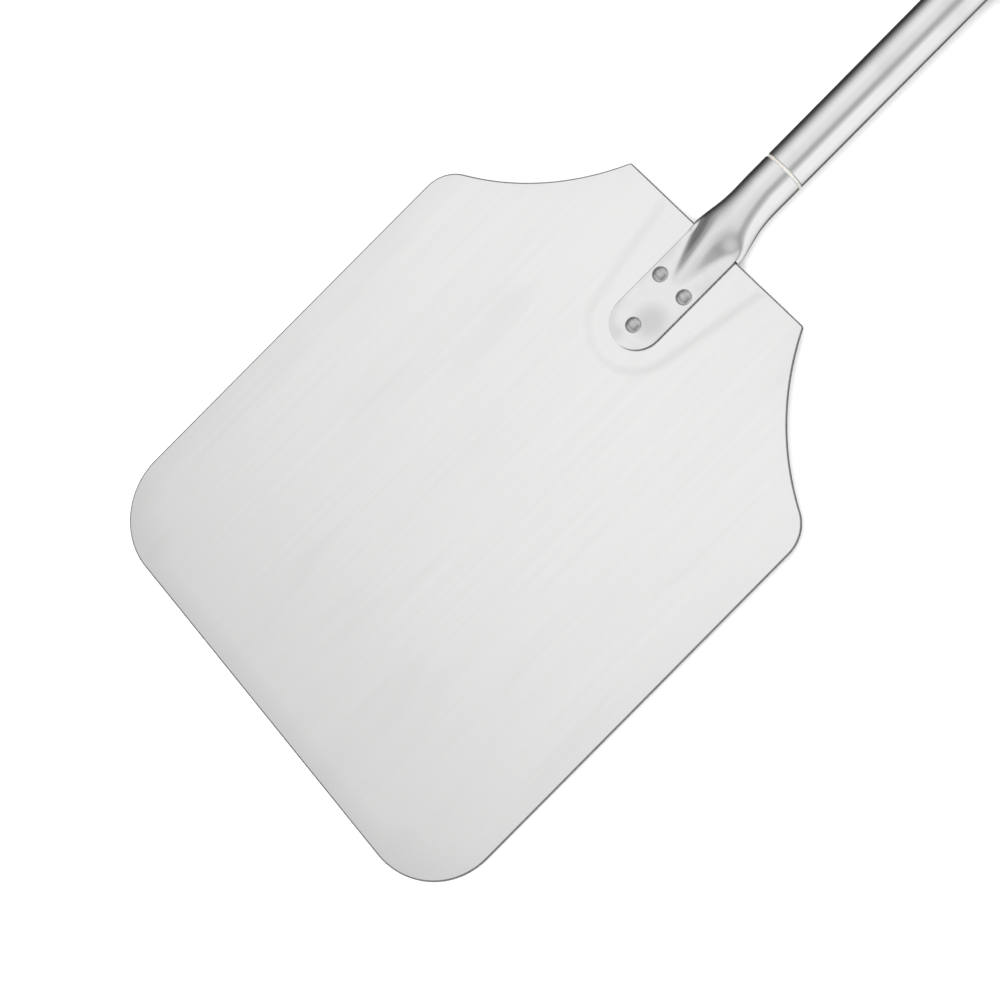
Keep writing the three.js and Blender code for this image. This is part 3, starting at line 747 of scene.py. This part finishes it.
def make_socket_tube():
    slit = BLADE_THICKNESS / 2 + GAP
    top = list(range(TOP_STEPS + 1))
    turn = TOP_STEPS + SIDE_STEPS  # loop points from one plate's first point to the other's
    size = 2 * turn
    points = []
    cut_faces = []
    faces = []

    def add_contours(x, plate_half_width, half_width, inner_scale, inner_floor):
        """Outer and inner loops of one station. Returns the index of its first point."""
        start = len(points)
        points.extend(contour(x, plate_half_width, half_width, 0))
        inner = contour(x, plate_half_width * inner_scale, half_width * inner_scale, TUBE_WALL)
        middle = section_z(x)
        for index, (px, py, pz) in enumerate(inner):
            in_plate = index % turn <= TOP_STEPS
            if in_plate and abs(pz - middle) < inner_floor:
                pz = middle + math.copysign(inner_floor, TOP_STEPS + 0.5 - index)
            points.append((px, py, pz))
        return start

    # the tongues: the plates above and below the blade
    starts = [add_contours(x, half, FLAT_HALF_WIDTH, 1.0, slit) for x, half in tongue_stations()]
    crotch = add_contours(CROTCH_X, TONGUE_RADIUS, FLAT_HALF_WIDTH, 1 - TUBE_WALL / FLAT_HALF_WIDTH, 0)
    for a, b in zip(starts, starts[1:] + [crotch]):
        for plate in (0, turn):
            for j in top[:-1]:
                faces.append((a + plate + j, a + plate + j + 1, b + plate + j + 1, b + plate + j))
                faces.append(tuple(size + i for i in
                                   (a + plate + j + 1, a + plate + j, b + plate + j, b + plate + j + 1)))
            for j in (0, TOP_STEPS):
                p, q = a + plate + j, b + plate + j
                cut_faces.append((p, q, q + size, p + size))
    for plate in (0, turn):
        for j in top[:-1]:
            p = starts[0] + plate + j
            cut_faces.append((p, p + 1, p + 1 + size, p + size))

    # the tube behind the crotch, with the crotch's end faces at its sides
    previous = crotch
    steps = 44
    for i in range(1, steps + 1):
        x = CROTCH_X + (SOCKET_RIM_X - CROTCH_X) * i / steps
        half_width = section_half_width(x)
        scale = 1 - TUBE_WALL / half_width
        start = add_contours(x, PLATE_SHARE * half_width, half_width, scale, 0)
        for j in range(size):
            n = (j + 1) % size
            faces.append((previous + j, previous + n, start + n, start + j))
            faces.append(tuple(size + k for k in (previous + n, previous + j, start + j, start + n)))
        previous = start
    for j in range(size):
        n = (j + 1) % size
        faces.append((previous + j, previous + n, previous + n + size, previous + j + size))
        if j % turn >= TOP_STEPS:
            faces.append((crotch + n, crotch + j, crotch + j + size, crotch + n + size))

    faces = cut_faces + faces
    used = sorted({i for face in faces for i in face})
    renumber = {old: new for new, old in enumerate(used)}
    points = [points[i] for i in used]
    faces = [tuple(renumber[i] for i in face) for face in faces]
    # the tongues' cut edges take the edge material, whose dark colour paints the shade in the slit beside
    # them
    cuts = len(cut_faces)
    piece = add_piece("socket_formed", points, faces, TUBE, "head", "socket_tube", 50, cuts)
    bevel(piece, 0.3, 3, 50)
    return piece


# ---- rivets ------------------------------------------------------------------------------------


def make_rivet(name, x, y):
    """A rivet with a domed head above the fork and a flattened foot below it."""
    seat = -POCKET_DEPTH + FLAT_HALF_HEIGHT
    foot_seat = -POCKET_DEPTH - FLAT_HALF_HEIGHT
    profile = [
        (foot_seat - RIVET_FOOT_HEIGHT, 0.6 * RIVET_FOOT_RADIUS),
        (foot_seat - 0.97 * RIVET_FOOT_HEIGHT, 0.82 * RIVET_FOOT_RADIUS),
        (foot_seat - 0.75 * RIVET_FOOT_HEIGHT, 0.96 * RIVET_FOOT_RADIUS),
        (foot_seat - 0.4 * RIVET_FOOT_HEIGHT, RIVET_FOOT_RADIUS),
        (foot_seat, 0.95 * RIVET_FOOT_RADIUS),
        (foot_seat, RIVET_SHANK_RADIUS),
        (seat, RIVET_SHANK_RADIUS),
        (seat, 0.97 * RIVET_HEAD_RADIUS),
        (seat + 0.15, RIVET_HEAD_RADIUS),
    ]
    rise = RIVET_HEAD_HEIGHT - 0.3
    sphere = (RIVET_HEAD_RADIUS**2 + rise**2) / (2 * rise)
    widest = math.asin(RIVET_HEAD_RADIUS / sphere)
    for i in range(16):
        angle = widest * (1 - i / 15.5)
        drop = sphere * (1 - math.cos(angle))
        profile.append((seat + RIVET_HEAD_HEIGHT - drop, sphere * math.sin(angle)))
    points, faces = upright(x, y, profile)
    return add_piece("rivet_" + name + "_domed", points, faces, RIVET, "head", "rivet_" + name, 45)


# ---- screw joint -------------------------------------------------------------------------------


def thread_radius(x, angle, root, depth):
    """Radius of a coarse round thread at x along it and an angle round it."""
    phase = (x / THREAD_LEAD - angle / (2 * math.pi)) % 1
    crest = 0.5 - 0.5 * math.cos(2 * math.pi * phase)
    return root + depth * smoothstep(crest, 0.15, 0.85)


def threaded(low, high, root, depth, shift=0.0, segments=72, steps_per_turn=14):
    """Rings of a threaded cylinder that fades to its root at both ends. shift moves the thread along x."""
    rings = []
    steps = round((high - low) / THREAD_LEAD * steps_per_turn)
    for i in range(steps + 1):
        x = low + (high - low) * i / steps
        fade = smoothstep(min(x - low, high - x), 0, THREAD_LEAD / 2)
        ring = []
        for k in range(segments):
            angle = 2 * math.pi * k / segments
            radius = thread_radius(x - shift, angle, root, depth * fade)
            ring.append((x, radius * math.cos(angle), TUBE_AXIS_Z + radius * math.sin(angle)))
        rings.append(ring)
    return rings


def ring_at(x, radius, segments=72):
    angles = [2 * math.pi * k / segments for k in range(segments)]
    return [(x, radius * math.cos(a), TUBE_AXIS_Z + radius * math.sin(a)) for a in angles]


def make_spigot():
    root = THREAD_RADIUS - THREAD_DEPTH
    plug = TUBE_RADIUS - TUBE_WALL - GAP - 0.05
    plug_end = HANDLE_TUBE_X + SPIGOT_PLUG_LENGTH
    rings = [ring_at(SPIGOT_TIP_X, root - 1.2), ring_at(SPIGOT_TIP_X + 0.4, root - 0.3)]
    rings += threaded(SPIGOT_TIP_X + 1, SOCKET_RIM_X - 1, root, THREAD_DEPTH)
    rings += [ring_at(SOCKET_RIM_X - 0.5, root), ring_at(SOCKET_RIM_X, THREAD_RADIUS - 0.2)]
    rings += [ring_at(HANDLE_TUBE_X - 0.1, THREAD_RADIUS - 0.2), ring_at(HANDLE_TUBE_X, THREAD_RADIUS)]
    rings += [ring_at(HANDLE_TUBE_X, plug - 0.3), ring_at(HANDLE_TUBE_X + 0.3, plug)]
    rings += [ring_at(plug_end - 1, plug), ring_at(plug_end, plug - 1)]
    points, faces = rings_to_mesh(rings, False)
    return add_piece("spigot_threaded", points, faces, STEEL, "handle", "threaded_spigot", 50)


def make_bush():
    rim = SOCKET_RIM_X - 0.4
    bore = THREAD_RADIUS + GAP
    rings = [ring_at(BUSH_NOSE_X, bore), ring_at(BUSH_NOSE_X, BUSH_NOSE_RADIUS)]
    rings += [ring_at(BUSH_STEP_X, BUSH_NOSE_RADIUS), ring_at(BUSH_STEP_X, BUSH_RADIUS)]
    rings += [ring_at(rim - 0.4, BUSH_RADIUS), ring_at(rim, BUSH_RADIUS - 0.4)]
    rings += [ring_at(rim, bore + 0.6), ring_at(rim - 0.6, bore)]
    # the bush's ridges lie in the spigot's grooves, half a lead from its ridges
    thread = threaded(BUSH_NOSE_X + 0.5, rim - 1, bore, -0.8 * THREAD_DEPTH, THREAD_LEAD / 2)
    rings += list(reversed(thread))
    points, faces = rings_to_mesh(rings, True)
    return add_piece("bush_threaded", points, faces, TUBE, "head", "socket_bush", 50)


def make_washer():
    low = SOCKET_RIM_X + 0.05
    high = HANDLE_TUBE_X - 0.05
    bore = THREAD_RADIUS + GAP
    profile = [
        (low, bore + 0.1),
        (low, WASHER_RADIUS - 0.25),
        (low + 0.25, WASHER_RADIUS),
        (high - 0.25, WASHER_RADIUS),
        (high, WASHER_RADIUS - 0.25),
        (high, bore + 0.1),
    ]
    points, faces = turned(profile, closed=True)
    return add_piece("washer_nylon", points, faces, NYLON, "washer", "joint_washer", 50)


def make_pin(name, x, body, node):
    """A pin whose domed end is flush with the tube's underside."""
    low = TUBE_AXIS_Z - TUBE_RADIUS + 0.05
    profile = [(low, 0.4), (low + 0.05, 1.0), (low + 0.2, 1.4)]
    profile += [(low + 0.45, PIN_RADIUS), (low + PIN_LENGTH, PIN_RADIUS)]
    points, faces = upright(x, 0, profile, segments=32)
    return add_piece(name, points, faces, STEEL, body, node, 50)


# ---- handle ------------------------------------------------------------------------------------


def make_handle_tube():
    inner = TUBE_RADIUS - TUBE_WALL
    start, end = HANDLE_TUBE_X, HANDLE_TUBE_END_X
    profile = [
        (start, inner),
        (start, TUBE_RADIUS - 0.35),
        (start + 0.1, TUBE_RADIUS - 0.12),
        (start + 0.35, TUBE_RADIUS),
    ]
    steps = 24
    profile += [(start + 1 + (end - start - 2) * i / steps, TUBE_RADIUS) for i in range(steps + 1)]
    profile += [(end, TUBE_RADIUS), (end, inner)]
    points, faces = turned(profile, closed=True, segments=128)
    return add_piece("handle_tube_drawn", points, faces, TUBE, "handle", "handle_tube", 50)


def make_ferrule():
    low = GRIP_X
    high = GRIP_X + GRIP_NECK_LENGTH - 0.05
    inner = GRIP_NECK_RADIUS + 0.05
    lip = TUBE_RADIUS + 0.1
    curve = FERRULE_FRONT_ROUNDING
    profile = [(low + 0.9, inner), (low + 0.9, lip), (low + 0.05, lip)]
    for i in range(9):
        angle = math.radians(90 * i / 8)
        radius = FERRULE_RADIUS - curve + curve * math.sin(angle)
        profile.append((low + curve - curve * math.cos(angle), radius))
    for i in range(17):  # a rolled bead half way along
        x = low + BEAD_START + BEAD_LENGTH * i / 16
        profile.append((x, FERRULE_RADIUS + BEAD_HEIGHT * math.sin(math.pi * i / 16) ** 2))
    profile += [(high - 0.3, FERRULE_RADIUS), (high - 0.08, FERRULE_RADIUS - 0.1)]
    profile += [(high, FERRULE_RADIUS - 0.35), (high, inner)]
    points, faces = turned(profile, closed=True)
    return add_piece("ferrule_spun", points, faces, TUBE, "handle", "ferrule", 35)


def grip_radius(x):
    """Outer radius of the grip behind its neck: swells to the middle, then draws in to a round end."""
    start = GRIP_X + GRIP_NECK_LENGTH
    swell = max(0.0, math.sin(math.pi * (x - start) / (GRIP_END_X - start))) ** 0.8
    body = GRIP_SHOULDER_RADIUS + (GRIP_RADIUS - GRIP_SHOULDER_RADIUS) * swell
    end = min(1.0, max(0.0, (x - (GRIP_END_X - GRIP_ROUND_LENGTH)) / GRIP_ROUND_LENGTH))
    return body * math.sqrt(1 - 0.75 * end**2.5)


def flat_limit(x):
    """Highest point above the tube axis that the planed flats leave at x."""
    return GRIP_FLAT_HALF_HEIGHT + 7 * (1 - smoothstep(x, GRIP_FLAT_X - 9, GRIP_FLAT_X + 2))


def planed_height(height, limit, radius):
    """Height over the tube axis of a point of the round grip once the flats are planed, edges softened."""
    start = limit - GRIP_FLAT_SOFTNESS
    if abs(height) <= start:
        return height
    over = (abs(height) - start) / (radius - start) if radius > limit else 0
    rise = GRIP_FLAT_SOFTNESS * math.sqrt(max(0.0, min(1.0, over)))
    return math.copysign(min(abs(height), start + rise), height)


def make_grip():
    """The grip's wood, from the neck under the ferrule to the round end. Its front end is closed."""
    body_start = GRIP_X + GRIP_NECK_LENGTH
    front = GRIP_X + 1
    round_start = body_start + 0.4
    rings = [
        ring_at(front, TUBE_RADIUS + 0.05, GRIP_SEGMENTS),
        ring_at(front, GRIP_NECK_RADIUS, GRIP_SEGMENTS),
        ring_at(body_start, GRIP_NECK_RADIUS, GRIP_SEGMENTS),
        ring_at(body_start, GRIP_SHOULDER_RADIUS - 0.5, GRIP_SEGMENTS),
    ]
    steps = 90
    for i in range(steps + 1):
        # close together towards the round end
        x = round_start + (GRIP_END_X - round_start) * math.sin(math.pi / 2 * i / steps)
        limit = flat_limit(x)
        radius = grip_radius(x)
        ring = []
        for px, py, pz in ring_at(x, radius, GRIP_SEGMENTS):
            height = planed_height(pz - TUBE_AXIS_Z, limit, radius)
            ring.append((px, py, TUBE_AXIS_Z + height))
        rings.append(ring)
    points, faces = rings_to_mesh(rings, False)
    piece = add_piece("grip_turned", points, faces, BEECH, "handle", "grip", 35)
    drill(piece, HANG_HOLE_X, HANG_HOLE_RADIUS + EYELET_WALL)
    return piece


def drill(piece, x, radius):
    """Cuts an upright hole through the piece."""
    points, faces = upright(x, 0, [(-30, radius), (30, radius)], segments=48)
    mesh = bpy.data.meshes.new("drill")
    mesh.from_pydata([HEAD @ Vector(p) for p in points], [], faces)
    cutter = bpy.data.objects.new("drill", mesh)
    bpy.context.scene.collection.objects.link(cutter)
    modifier = piece.modifiers.new("hole", "BOOLEAN")
    modifier.object = cutter
    modifier.operation = "DIFFERENCE"
    modifier.solver = "EXACT"
    depsgraph = bpy.context.evaluated_depsgraph_get()
    cut = bpy.data.meshes.new_from_object(piece.evaluated_get(depsgraph))
    piece.modifiers.clear()
    piece.data = cut
    bpy.data.objects.remove(cutter)


def make_grip_pin():
    """A cross pin, flush with the wood on both sides."""
    reach = grip_radius(GRIP_PIN_X) + 0.05
    rings = []
    profile = [(-reach, 0.9), (-reach + 0.1, 1.6), (-reach + 0.4, GRIP_PIN_RADIUS)]
    for y, radius in profile + [(-y, radius) for y, radius in reversed(profile)]:
        ring = []
        for k in range(40):
            angle = 2 * math.pi * k / 40
            ring.append((GRIP_PIN_X + radius * math.cos(angle), y, TUBE_AXIS_Z + radius * math.sin(angle)))
        rings.append(ring)
    points, faces = rings_to_mesh(rings, False)
    return add_piece("grip_cross_pin", points, faces, STEEL, "handle", "grip_pin", 50)


def make_eyelet():
    """A tubular eyelet with a rolled flange on both flats of the grip."""
    half = GRIP_FLAT_HALF_HEIGHT
    outer = HANG_HOLE_RADIUS + EYELET_WALL
    top = half + EYELET_FLANGE_THICKNESS
    side = [(half, outer), (half, EYELET_FLANGE_RADIUS - 0.2), (half + 0.3, EYELET_FLANGE_RADIUS)]
    for i in range(9):
        angle = math.radians(10 + 150 * i / 8)
        middle = (EYELET_FLANGE_RADIUS + HANG_HOLE_RADIUS) / 2
        spread = (EYELET_FLANGE_RADIUS - HANG_HOLE_RADIUS) / 2
        side.append((half + 0.3 + (top - half) * math.sin(angle), middle + spread * math.cos(angle)))
    side.append((half - 1.0, HANG_HOLE_RADIUS))
    profile = side + [(-z, radius) for z, radius in reversed(side)]
    profile = [(TUBE_AXIS_Z + z, radius) for z, radius in profile]
    points, faces = upright(HANG_HOLE_X, 0, profile, closed=True)
    return add_piece("eyelet_rolled", points, faces, STEEL, "handle", "hang_eyelet", 40)


# ---- studio ------------------------------------------------------------------------------------

CAMERA_AT = (297.2, -439.7, 1015.7)  # head frame
CAMERA_AIM = (176.8, -16.4, 0.0)
CAMERA_UP = (0.70483, 0.68056, 0.20011)
CAMERA_LENS = 73.74
LAMP_DIRECTION = (-0.05, 0.35, -1.0)
LAMP_STRENGTH = 3.0
FLOOR_HALF_SIZE = 40.0  # the floor and the gauze are in metres, in the row's frame
FLOOR_Z = -0.0003
GAUZE_LOW_X = -1.6
GAUZE_HIGH_X = 0.3
GAUZE_HALF_WIDTH = 2.5
GAUZE_HEIGHT = 1.1


def make_camera():
    data = bpy.data.cameras.new("camera")
    data.sensor_width = 36.0
    data.lens = CAMERA_LENS
    data.clip_start = 0.01
    data.clip_end = 100
    camera = bpy.data.objects.new("camera", data)
    bpy.context.scene.collection.objects.link(camera)
    place = HEAD @ Vector(CAMERA_AT)
    back = (place - HEAD @ Vector(CAMERA_AIM)).normalized()
    up = (HEAD.to_3x3() @ Vector(CAMERA_UP)).normalized()
    right = up.cross(back).normalized()
    up = back.cross(right)
    camera.matrix_world = Matrix.Translation(place) @ Matrix((right, up, back)).transposed().to_4x4()
    bpy.context.scene.camera = camera


def add_sheet(name, low_x, high_x, half_width, height):
    """A level rectangle in the row's frame, in metres."""
    mesh = bpy.data.meshes.new(name)
    corners = [
        (low_x, -half_width, height),
        (high_x, -half_width, height),
        (high_x, half_width, height),
        (low_x, half_width, height),
    ]
    mesh.from_pydata(corners, [], [(0, 1, 2, 3)])
    sheet = bpy.data.objects.new(name, mesh)
    bpy.context.scene.collection.objects.link(sheet)
    return sheet


def make_floor():
    floor = add_sheet("floor", -FLOOR_HALF_SIZE, FLOOR_HALF_SIZE, FLOOR_HALF_SIZE, 0)
    floor.location.z = FLOOR_Z
    n = MaterialNodes("studio_floor")
    n.set(roughness=0.9)
    n.shader.inputs["Base Color"].default_value = (0.9, 0.9, 0.9, 1)
    n.shader.inputs["Specular IOR Level"].default_value = 0.1
    floor.data.materials.append(n.material)
    # the metal mirrors the studio round it, which make_studio paints, and not the floor
    floor.visible_glossy = False


def make_studio():
    """The room that the metal mirrors: light above and towards -y, darker towards +y and towards -x."""
    world = bpy.data.worlds.new("studio")
    bpy.context.scene.world = world
    world.use_nodes = True
    world.node_tree.nodes.clear()
    n = Nodes(world.node_tree)
    split = n.add("SeparateXYZ")
    n.join(n.add("TexCoord").outputs["Generated"], split.inputs["Vector"])
    x, y, z = (split.outputs[axis] for axis in "XYZ")

    # brightness round the x axis, by the angle from straight up, + towards +y, in degrees
    around = [
        (-180, 0.12), (-160, 0.16), (-149, 0.80), (-110, 0.98), (-66, 0.98), (-55, 0.62), (-42, 0.43),
        (-32, 0.50), (-21, 0.79), (0, 0.85), (22, 0.93), (42, 0.86), (54, 0.66), (70, 0.38), (84, 0.17),
        (104, 0.04), (180, 0.02),
    ]
    share = n.maths("MULTIPLY_ADD", n.maths("ARCTAN2", y, z), 1 / (2 * math.pi), 0.5)
    stops = [(degrees / 360 + 0.5, level) for degrees, level in around]
    ramp = n.grey_ramp(share, stops, "EASE")
    band = n.maths("MULTIPLY", ramp, n.between(x, 0.15, 0.4, 1.0, 0.88))

    # plain soft room to both ends
    ends = n.between(z, 0.0, 0.55, 0.34, 0.84)
    beyond = n.between(n.maths("ABSOLUTE", x), 0.4, 0.75, 0.0, 1.0)
    mix = n.add("Mix", data_type="FLOAT")
    for key, value in (("Factor", beyond), ("A", band), ("B", ends)):
        n.join(value, mix.inputs[key])
    room = n.add("Background")
    n.join(mix.outputs["Result"], room.inputs["Color"])

    # the backdrop itself is plain white
    backdrop = n.add("Background")
    backdrop.inputs["Color"].default_value = (1, 1, 1, 1)
    chosen = n.add("MixShader")
    n.join(n.add("LightPath").outputs["Is Camera Ray"], chosen.inputs["Fac"])
    n.join(room.outputs["Background"], chosen.inputs[1])
    n.join(backdrop.outputs["Background"], chosen.inputs[2])
    n.join(chosen.outputs["Shader"], n.add("OutputWorld").inputs["Surface"])


def make_gauze():
    """A neutral gauze over the blade, denser towards -x. Only what the metal mirrors passes through it."""
    gauze = add_sheet("gauze", GAUZE_LOW_X, GAUZE_HIGH_X, GAUZE_HALF_WIDTH, GAUZE_HEIGHT)
    n = MaterialNodes("gauze")
    split = n.add("SeparateXYZ")
    n.join(n.place((1, 1, 1)), split.inputs["Vector"])
    # clearness by place along x, in metres
    clearness = [
        (GAUZE_LOW_X, 1.0), (-1.2, 0.75), (-0.9, 0.62), (-0.65, 0.78), (-0.44, 0.92), (-0.1, 0.985)
    ]
    length = GAUZE_HIGH_X - GAUZE_LOW_X
    stops = [((place - GAUZE_LOW_X) / length, level) for place, level in clearness]
    along = n.between(split.outputs["X"], GAUZE_LOW_X, GAUZE_HIGH_X, 0, 1, "LINEAR")
    clear = n.add("BsdfTransparent")
    n.join(n.grey_ramp(along, stops), clear.inputs["Color"])
    n.join(clear.outputs["BSDF"], n.tree.nodes["Material Output"].inputs["Surface"])
    gauze.data.materials.append(n.material)
    gauze.visible_camera = False
    gauze.visible_diffuse = False
    gauze.visible_shadow = False


def make_lamp():
    """A very wide soft light from over the camera, for the floor and the wood; metal mirrors the room."""
    data = bpy.data.lights.new("soft_light", "SUN")
    data.angle = math.radians(75)
    data.energy = LAMP_STRENGTH
    lamp = bpy.data.objects.new("soft_light", data)
    bpy.context.scene.collection.objects.link(lamp)
    lamp.rotation_mode = "QUATERNION"
    lamp.rotation_quaternion = Vector(LAMP_DIRECTION).to_track_quat("-Z", "Y")
    lamp.visible_glossy = False


# ---- assembly ----------------------------------------------------------------------------------

make_camera()
make_blade()
make_socket_tube()
for rivet_name, (rivet_x, rivet_y) in RIVETS.items():
    make_rivet(rivet_name, rivet_x, rivet_y)
make_bush()
make_pin("bush_pin_flush", BUSH_PIN_X, "head", "bush_pin")
make_washer()
make_spigot()
make_pin("spigot_pin_flush", SPIGOT_PIN_X, "handle", "spigot_pin")
make_handle_tube()
make_ferrule()
make_grip()
make_grip_pin()
make_eyelet()
make_floor()
make_studio()
make_gauze()
make_lamp()
bpy.context.scene.view_settings.view_transform = "Standard"
